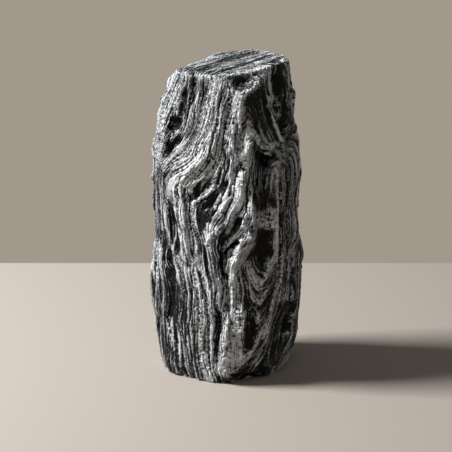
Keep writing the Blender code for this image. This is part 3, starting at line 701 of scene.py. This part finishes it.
# ---- The stone: its rock ----------------------------------------------------------------
# Thin light and dark layers, drawn out into lenses, with fine dark partings, broken grain and
# scattered flakes of mica that catch the light.

rock = bpy.data.materials.new("banded gneiss")
rock.use_nodes = True
tree = rock.node_tree
shader = tree.nodes["Principled BSDF"]


def add_node(kind, **settings):
    made = tree.nodes.new(kind)
    for name, value in settings.items():
        setattr(made, name, value)
    return made


def feed(socket, source):
    """Set a socket to a number, or join it to another node's output."""
    if isinstance(source, bpy.types.NodeSocket):
        tree.links.new(source, socket)
    else:
        socket.default_value = source


def sums(operation, first, second=0.0, third=0.0):
    made = add_node("ShaderNodeMath", operation=operation)
    for socket, source in zip(made.inputs, (first, second, third)):
        feed(socket, source)
    return made.outputs[0]


def vectors(operation, first, second=(0.0, 0.0, 0.0)):
    made = add_node("ShaderNodeVectorMath", operation=operation)
    feed(made.inputs[0], first)
    feed(made.inputs[1], second)
    return made.outputs["Value"] if operation == "DOT_PRODUCT" else made.outputs["Vector"]


def scaled(vector, factor):
    made = add_node("ShaderNodeVectorMath", operation="SCALE")
    feed(made.inputs[0], vector)
    feed(made.inputs["Scale"], factor)
    return made.outputs["Vector"]


def spread(value, low, high, to_low, to_high):
    """A value's range low to high moved to another range, and held to it."""
    made = add_node("ShaderNodeMapRange", clamp=True)
    for socket, source in zip(made.inputs, (value, low, high, to_low, to_high)):
        feed(socket, source)
    return made.outputs["Result"]


def read_attribute(name):
    return add_node("ShaderNodeAttribute", attribute_name=name).outputs["Fac"]


def noise_at(vector, detail=2.0, roughness=0.5):
    made = add_node("ShaderNodeTexNoise")
    feed(made.inputs["Vector"], vector)
    made.inputs["Scale"].default_value = 1.0
    made.inputs["Detail"].default_value = detail
    made.inputs["Roughness"].default_value = roughness
    return made.outputs["Fac"]


def cells_at(vector, feature="F1"):
    made = add_node("ShaderNodeTexVoronoi", feature=feature)
    feed(made.inputs["Vector"], vector)
    made.inputs["Scale"].default_value = 1.0
    return made


def swing(value, amount):
    """A noise's swing about its middle, by an amount."""
    return sums("MULTIPLY_ADD", value, amount, -0.5 * amount)


place = scaled(add_node("ShaderNodeTexCoord").outputs["Object"], 1.0 / MM)
level_run = vectors("DOT_PRODUCT", place, (-LAYER_ACROSS[1], LAYER_ACROSS[0], 0.0))
height = vectors("DOT_PRODUCT", place, (0.0, 0.0, 1.0))
edge, hollow, parted, quartz_and_painted_light, mica_and_painted_shade = (
    read_attribute(name) for name in ("edge", "hollow", "parted", "quartz_and_painted_light", "mica_and_painted_shade"))


def in_units(size):
    """A space where that size, in millimetres, is one unit."""
    return scaled(place, 1 / size)


WAVERS = ((16.0, 0.9), (5.0, 0.25))   # how the layers waver: over what length, and how far
SIDEWAYS = 0.05            # how fast a streak changes from side to side, against across
wavers = [swing(noise_at(in_units(run)), amount) for run, amount in WAVERS]
layer = sums("ADD", read_attribute("layer"), sums("ADD", *wavers))


def along_layers(across, along, offset=0.0):
    """A space where a streak `across` wide and `along` long, in millimetres, is one unit."""
    made = add_node("ShaderNodeCombineXYZ")
    feed(made.inputs[0], sums("MULTIPLY_ADD", layer, 1.0 / across, offset))
    feed(made.inputs[1], sums("MULTIPLY", height, 1.0 / along))
    feed(made.inputs[2], sums("MULTIPLY", level_run, SIDEWAYS / across))
    return made.outputs[0]


def borders(space, width):
    """1 on the borders between a space's cells, fading to 0 over a width."""
    reach = cells_at(space, "DISTANCE_TO_EDGE").outputs["Distance"]
    return spread(reach, 0.0, width, 1.0, 0.0)


def own_number(cells, channel):
    """The number from 0 to 1 that each cell draws for itself, one of its three."""
    return vectors("DOT_PRODUCT", cells.outputs["Color"], [float(channel == at) for at in range(3)])


LENS = (2.2, 48.0, 11.0)   # a lens's width, its length, and where the pattern starts
HAIRLINE = (1.1, 30.0, 83.0)

broad = noise_at(along_layers(6.0, 120.0), detail=1.0)
bands = noise_at(along_layers(1.8, 110.0, 31.0), detail=1.5, roughness=0.6)
lines = noise_at(along_layers(0.8, 60.0, 57.0), detail=1.5, roughness=0.6)
lens_tone = own_number(cells_at(along_layers(*LENS)), 0)
partings = borders(along_layers(*LENS), 0.16)
hairlines = borders(along_layers(*HAIRLINE), 0.22)
grains = noise_at(in_units(1.3), detail=3.0, roughness=0.7)
crystal_tone = own_number(cells_at(in_units(1.1)), 1)
clot_tone = own_number(cells_at(in_units(2.4)), 2)

# The tone starts from the layers, which parted faces show a little stronger, and mica, with the
# painted shade in its lists, weaker. The rest is added: the middle tone, the grain, what each
# mineral and parting does, with the painted light and shade that the mineral lists hold, and
# last the wear of the edges, painted shade in the fine grooves, and painted shade with some dirt
# in the hollows.
MIDDLE_TONE = 0.745
tone = 0.0
for pattern, amount in ((broad, 0.5), (bands, 1.15), (lines, 2.2), (lens_tone, 0.30)):
    tone = sums("ADD", tone, swing(pattern, amount))
for share, most in ((parted, 1.05), (mica_and_painted_shade, 0.75)):
    tone = sums("MULTIPLY", tone, spread(share, 0.0, 1.0, 1.0, most))
tone = sums("ADD", tone, MIDDLE_TONE)
for pattern, amount in ((grains, 0.9), (crystal_tone, 0.30)):
    tone = sums("ADD", tone, swing(pattern, amount))
for share, amount in (
        (quartz_and_painted_light, 0.36), (quartz_and_painted_light, swing(crystal_tone, 0.24)), (quartz_and_painted_light, swing(clot_tone, 0.25)),
        (mica_and_painted_shade, -0.30), (parted, -0.10), (partings, -0.34), (hairlines, -0.24)):
    tone = sums("MULTIPLY_ADD", share, amount, tone)
# Proud edges are worn lighter, and fine grooves are darkened as painted shade.
tone = sums("ADD", tone, spread(edge, -0.45, 0.45, -0.24, 0.20))
# Hollows are darkened as painted shade, with some dirt.
tone = sums("ADD", tone, spread(hollow, -2.5, 1.5, -0.35, 0.10))

# From tone to grey, from mica's near black to quartz's white, with a trace of blue.
TONE_SHARE = 0.8
GREYS = ((0.22, 0.028), (0.335, 0.11), (0.45, 0.28), (0.59, 0.50), (0.80, 0.74))
ramp = add_node("ShaderNodeValToRGB")
feed(ramp.inputs[0], sums("MULTIPLY", tone, TONE_SHARE))
stops = ramp.color_ramp.elements
stops[0].position = 0.11
stops[0].color = (0.0038, 0.004, 0.0042, 1.0)
stops[1].position = 1.0
stops[1].color = (0.84, 0.87, 0.89, 1.0)
for position, grey in GREYS:
    stop = stops.new(position)
    stop.color = (grey * 0.95, grey, grey * 1.04, 1.0)
feed(shader.inputs["Base Color"], ramp.outputs["Color"])
shader.inputs["Specular IOR Level"].default_value = 0.18

# A few flakes of mica are smoother than the rest, and each is tilted its own way.
FLAKE_SIZE = 1.2
FLAKE_FROM = 0.93
FLAKE_SHINE = -0.25
FLAKE_TILT = 1.2
flakes = cells_at(in_units(FLAKE_SIZE))
flake = sums("GREATER_THAN", own_number(flakes, 2), FLAKE_FROM)
feed(shader.inputs["Roughness"], sums(
    "MULTIPLY_ADD", flake, FLAKE_SHINE, spread(tone, 0.1, 0.9, 0.42, 0.60)))

# How far each pattern stands out where the mesh is too coarse for it, in millimetres.
FINE_RELIEF = (
    (lines, 2.2), (bands, 2.4), (grains, 1.2), (crystal_tone, 0.35), (partings, -1.0),
    (hairlines, -0.7),
)
bump = add_node("ShaderNodeBump")
bump.inputs["Strength"].default_value = 1.0
bump.inputs["Distance"].default_value = 1.0 * MM
fine = 0.0
for pattern, rise in FINE_RELIEF:
    fine = sums("MULTIPLY_ADD", pattern, rise, fine)
feed(bump.inputs["Height"], fine)
leaning = vectors("SUBTRACT", flakes.outputs["Color"], (0.5, 0.5, 0.5))
tilt = scaled(leaning, sums("MULTIPLY", flake, FLAKE_TILT))
feed(shader.inputs["Normal"], vectors("NORMALIZE", vectors("ADD", bump.outputs["Normal"], tilt)))

stone.data.materials.clear()
stone.data.materials.append(rock)
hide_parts("gneiss_monolith")
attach(stone, "root")


# ---- The table top ----------------------------------------------------------------------
# A plain, pale cast top. Its far edge is just behind the stone, with the wall beyond.

TABLE_BACK = 0.319
TABLE_WIDTH = 8.0
TABLE_DEPTH = 4.0

top = bmesh.new()
bmesh.ops.create_grid(top, x_segments=1, y_segments=1, size=0.5)
bmesh.ops.scale(top, verts=top.verts[:], vec=(TABLE_WIDTH, TABLE_DEPTH, 1.0))
bmesh.ops.translate(top, verts=top.verts[:], vec=(0.0, TABLE_BACK - TABLE_DEPTH / 2.0, 0.0))
table_mesh = bpy.data.meshes.new("table")
top.to_mesh(table_mesh)
top.free()
table = bpy.data.objects.new("table", table_mesh)
bpy.context.scene.collection.objects.link(table)
plaster = bpy.data.materials.new("cast plaster")
plaster.use_nodes = True
plaster_shader = plaster.node_tree.nodes["Principled BSDF"]
plaster_shader.inputs["Base Color"].default_value = (0.345, 0.307, 0.274, 1.0)
plaster_shader.inputs["Roughness"].default_value = 0.85
table_mesh.materials.append(plaster)


# ---- Light ------------------------------------------------------------------------------
# One soft box high on the left, and a warm, even wall all round that fills the shade.

KEY_RISE = math.radians(45.0)
KEY_DISTANCE = 1.8
KEY_AIM = Vector((0.0, 0.0, 0.12))

key = bpy.data.lights.new("soft box", "AREA")
key.shape = "SQUARE"
key.size = 0.45
key.energy = 70.0
key.color = (1.0, 0.995, 0.985)
key_light = bpy.data.objects.new("soft box", key)
key_light.location = KEY_AIM + KEY_DISTANCE * Vector((-math.cos(KEY_RISE), 0.0, math.sin(KEY_RISE)))
key_light.rotation_euler = (KEY_AIM - key_light.location).to_track_quat("-Z", "Y").to_euler()
bpy.context.scene.collection.objects.link(key_light)

surroundings = bpy.data.worlds.new("plain wall")
surroundings.use_nodes = True
world_nodes = surroundings.node_tree.nodes
wall_seen = world_nodes["Background"]
wall_seen.inputs["Color"].default_value = (0.366, 0.314, 0.262, 1.0)
wall_light = world_nodes.new("ShaderNodeBackground")
wall_light.inputs["Color"].default_value = (0.49, 0.467, 0.436, 1.0)
wall_light.inputs["Strength"].default_value = 0.38
which = world_nodes.new("ShaderNodeMixShader")
seen = world_nodes.new("ShaderNodeLightPath")
world_links = surroundings.node_tree.links
world_links.new(seen.outputs["Is Camera Ray"], which.inputs[0])
world_links.new(wall_light.outputs[0], which.inputs[1])
world_links.new(wall_seen.outputs[0], which.inputs[2])
world_links.new(which.outputs[0], world_nodes["World Output"].inputs["Surface"])
bpy.context.scene.world = surroundings
bpy.context.scene.view_settings.view_transform = "Standard"


# ---- The camera -------------------------------------------------------------------------
# A long lens looking slightly down on the stone.

HALF_VIEW = 7.0            # half the angle that the picture takes in
LOOKS_DOWN = 16.5          # the angle below level that the camera looks

view = bpy.data.cameras.new("camera")
view.sensor_width = 36.0
view.lens = view.sensor_width / 2.0 / math.tan(math.radians(HALF_VIEW))
camera = bpy.data.objects.new("camera", view)
camera.location = (-0.001, -1.6806, 0.6364)
camera.rotation_euler = (math.radians(90.0 - LOOKS_DOWN), 0.0, 0.0)
bpy.context.scene.collection.objects.link(camera)
bpy.context.scene.camera = camera
